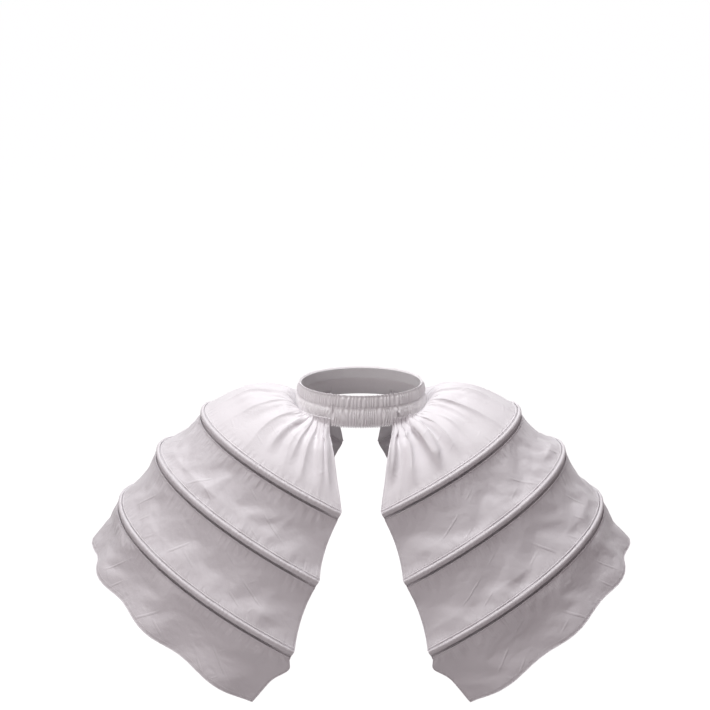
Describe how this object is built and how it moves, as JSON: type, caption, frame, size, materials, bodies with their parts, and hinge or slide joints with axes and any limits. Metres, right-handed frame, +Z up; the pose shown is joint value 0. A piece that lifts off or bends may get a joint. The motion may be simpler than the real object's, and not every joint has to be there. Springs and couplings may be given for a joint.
{
  "type": "hoop skirt",
  "caption": "Side-hoop skirt: gathered cloth wings, spread by sprung hoops in sewn casings, hang from a ruffled elastic waistband and are open at the front, the back and below.",
  "frame": {"origin": "middle of the waist opening, level with the waistband's upper edge", "axes": "+X across the wearer, to the right as seen from the front; +Y towards the back; +Z up"},
  "size_m": [0.9928, 0.514, 0.502],
  "materials": {
    "yoke_cloth": "white taffeta, slight sheen",
    "panel_cloth": "white taffeta, slight sheen",
    "casing_cloth": "white taffeta, folded double",
    "waistband_cloth": "white taffeta, ruffled",
    "elastic": "woven elastic",
    "hoop_steel": "sprung flat steel",
    "tip_plastic": "dipped"
  },
  "bodies": {
    "root": {"waistband_casing": "waistband_cloth", "waist_elastic": "elastic", "yoke_panel_left": "yoke_cloth", "second_panel_left": "panel_cloth", "third_panel_left": "panel_cloth", "hem_panel_left": "panel_cloth", "casing_top_left": "casing_cloth", "hoop_top_left": "hoop_steel", "casing_middle_left": "casing_cloth", "hoop_middle_left": "hoop_steel", "casing_bottom_left": "casing_cloth", "hoop_bottom_left": "hoop_steel", "hoop_tips_left": "tip_plastic", "yoke_panel_right": "yoke_cloth", "second_panel_right": "panel_cloth", "third_panel_right": "panel_cloth", "hem_panel_right": "panel_cloth", "casing_top_right": "casing_cloth", "hoop_top_right": "hoop_steel", "casing_middle_right": "casing_cloth", "hoop_middle_right": "hoop_steel", "casing_bottom_right": "casing_cloth", "hoop_bottom_right": "hoop_steel", "hoop_tips_right": "tip_plastic"}
  },
  "joints": []
}
